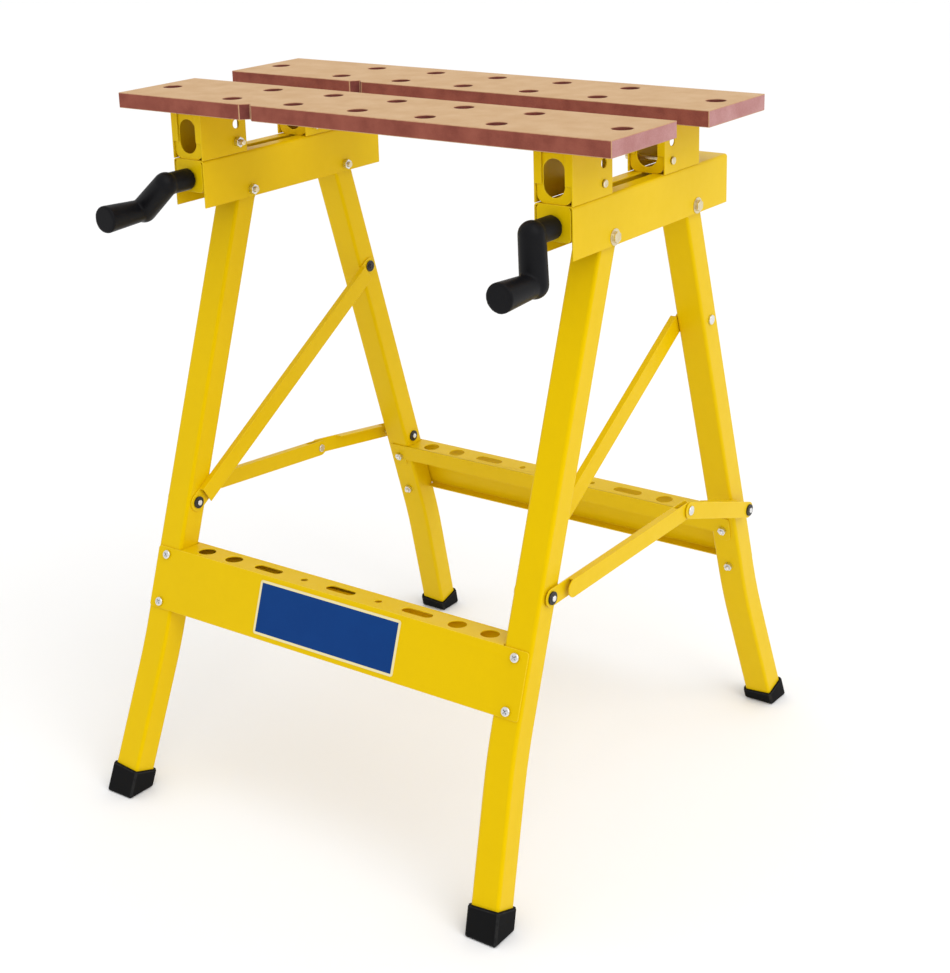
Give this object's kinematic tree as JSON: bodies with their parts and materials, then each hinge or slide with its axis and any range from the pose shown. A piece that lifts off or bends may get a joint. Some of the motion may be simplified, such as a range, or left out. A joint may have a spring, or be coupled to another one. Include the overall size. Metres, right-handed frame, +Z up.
{
  "type": "folding clamping workbench",
  "caption": "Folding clamping workbench with two board jaws on a steel frame, crank-driven screws, splayed legs, tool trays and folding braces.",
  "frame": {"origin": "on the floor, under the middle of the bench", "axes": "+X along the jaw boards to the right, +Y from the cranks to the back, +Z up"},
  "size_m": [0.605, 0.6008, 0.741],
  "materials": {
    "board": "fine speckled fibre board, smooth top and dark sawn edges",
    "foot_plastic": "matt moulded",
    "crank_black": "smooth satin black",
    "label_blue": "plain printed film",
    "black_steel": "blackened spring steel",
    "zinc_yellow": "yellow passivated zinc",
    "zinc": "bright zinc",
    "steel": "turned steel, lightly oiled",
    "yellow_paint": "satin powder coat"
  },
  "bodies": {
    "frame_top": {"channel_left": "yellow_paint", "channel_right": "yellow_paint", "front_board": "board", "front_saddle_left": "yellow_paint", "front_saddle_right": "yellow_paint", "front_cradle_left": "yellow_paint", "front_cradle_right": "yellow_paint", "front_board_screws": "zinc", "front_cross_bolts": "zinc_yellow", "front_bracket_nuts": "zinc", "front_down_bolts": "zinc_yellow", "leg_pivot_bolts": "zinc_yellow", "leg_pivot_nuts": "zinc", "leg_pivot_spacers": "zinc"},
    "rear_jaw": {"rear_board": "board", "rear_saddle_left": "yellow_paint", "rear_saddle_right": "yellow_paint", "rear_cradle_left": "yellow_paint", "rear_cradle_right": "yellow_paint", "rear_board_screws": "zinc", "rear_cross_bolts": "zinc_yellow", "rear_bracket_nuts": "zinc", "rear_down_bolts": "zinc_yellow", "vise_nut_left": "steel", "vise_nut_right": "steel"},
    "crank_left": {"vise_screw_left": "steel", "crank_handle_left": "crank_black"},
    "crank_right": {"vise_screw_right": "steel", "crank_handle_right": "crank_black"},
    "front_legs": {"front_leg_left": "yellow_paint", "front_leg_right": "yellow_paint", "front_foot_left": "foot_plastic", "front_foot_right": "foot_plastic", "front_tray": "yellow_paint", "front_tray_screws": "zinc", "front_tray_nuts": "zinc", "label_plate": "label_blue", "lower_pins": "zinc", "front_push_nuts": "black_steel"},
    "rear_legs": {"rear_leg_left": "yellow_paint", "rear_leg_right": "yellow_paint", "rear_foot_left": "foot_plastic", "rear_foot_right": "foot_plastic", "rear_tray": "yellow_paint", "rear_tray_screws": "zinc", "rear_tray_nuts": "zinc", "rear_pins": "zinc", "rear_push_nuts": "black_steel"},
    "brace_left": {"brace_left": "yellow_paint", "brace_stud_left": "black_steel"},
    "long_strut_left": {"strut_long_left": "yellow_paint", "inner_rivet_left": "zinc"},
    "short_strut_left": {"strut_short_left": "yellow_paint", "outer_rivet_left": "zinc"},
    "brace_right": {"brace_right": "yellow_paint", "brace_stud_right": "black_steel"},
    "long_strut_right": {"strut_long_right": "yellow_paint", "inner_rivet_right": "zinc"},
    "short_strut_right": {"strut_short_right": "yellow_paint", "outer_rivet_right": "zinc"}
  },
  "joints": [
    {"name": "crank_left_turn", "type": "hinge", "parent": "frame_top", "child": "crank_left", "pos_m": [-0.228, -0.1377, 0.653], "axis": [0, 1, 0], "range_deg": [-5310, 4500]},
    {"name": "crank_right_turn", "type": "hinge", "parent": "frame_top", "child": "crank_right", "pos_m": [0.228, -0.1377, 0.653], "axis": [0, 1, 0], "range_deg": [-5311, 4501]},
    {"name": "jaw_slide", "type": "slide", "parent": "frame_top", "child": "rear_jaw", "axis": [0, 1, 0], "range_m": [-0.0593, 0.0503]},
    {"name": "rear_leg_fold", "type": "hinge", "parent": "frame_top", "child": "rear_legs", "pos_m": [0, 0.0908, 0.631], "axis": [-1, 0, 0], "range_deg": [0, 62]},
    {"name": "front_leg_fold", "type": "hinge", "parent": "frame_top", "child": "front_legs", "pos_m": [0, -0.0662, 0.631], "axis": [-1, 0, 0], "range_deg": [0, 40.3]},
    {"name": "brace_turn_left", "type": "hinge", "parent": "front_legs", "child": "brace_left", "pos_m": [-0.228, -0.17787, 0.30669], "axis": [-1, 0, 0], "range_deg": [-20.8, 0]},
    {"name": "long_strut_turn_left", "type": "hinge", "parent": "front_legs", "child": "long_strut_left", "pos_m": [-0.228, -0.17787, 0.30669], "axis": [-1, 0, 0], "range_deg": [-51.9, 0]},
    {"name": "short_strut_turn_left", "type": "hinge", "parent": "rear_legs", "child": "short_strut_left", "pos_m": [-0.228, 0.2019, 0.2676], "axis": [-1, 0, 0], "range_deg": [0, 47.5]},
    {"name": "brace_turn_right", "type": "hinge", "parent": "front_legs", "child": "brace_right", "pos_m": [0.228, -0.17787, 0.30669], "axis": [-1, 0, 0], "range_deg": [-20.8, 0]},
    {"name": "long_strut_turn_right", "type": "hinge", "parent": "front_legs", "child": "long_strut_right", "pos_m": [0.228, -0.17787, 0.30669], "axis": [-1, 0, 0], "range_deg": [-46, 0]},
    {"name": "short_strut_turn_right", "type": "hinge", "parent": "rear_legs", "child": "short_strut_right", "pos_m": [0.228, 0.2019, 0.2676], "axis": [-1, 0, 0], "range_deg": [0, 37.7]}
  ],
  "couplings": [
    {"joint": "crank_right_turn", "follows": "crank_left_turn", "ratio": 1},
    {"joint": "jaw_slide", "follows": "crank_left_turn", "m_per_rad": 0.00063662},
    {"joint": "front_leg_fold", "follows": "rear_leg_fold", "ratio": 0.64575},
    {"joint": "brace_turn_left", "follows": "rear_leg_fold", "ratio": -0.33086},
    {"joint": "long_strut_turn_left", "follows": "rear_leg_fold", "ratio": -0.83205},
    {"joint": "short_strut_turn_left", "follows": "rear_leg_fold", "ratio": 0.76099},
    {"joint": "brace_turn_right", "follows": "rear_leg_fold", "ratio": -0.33086},
    {"joint": "long_strut_turn_right", "follows": "rear_leg_fold", "ratio": -0.73786},
    {"joint": "short_strut_turn_right", "follows": "rear_leg_fold", "ratio": 0.60398}
  ]
}
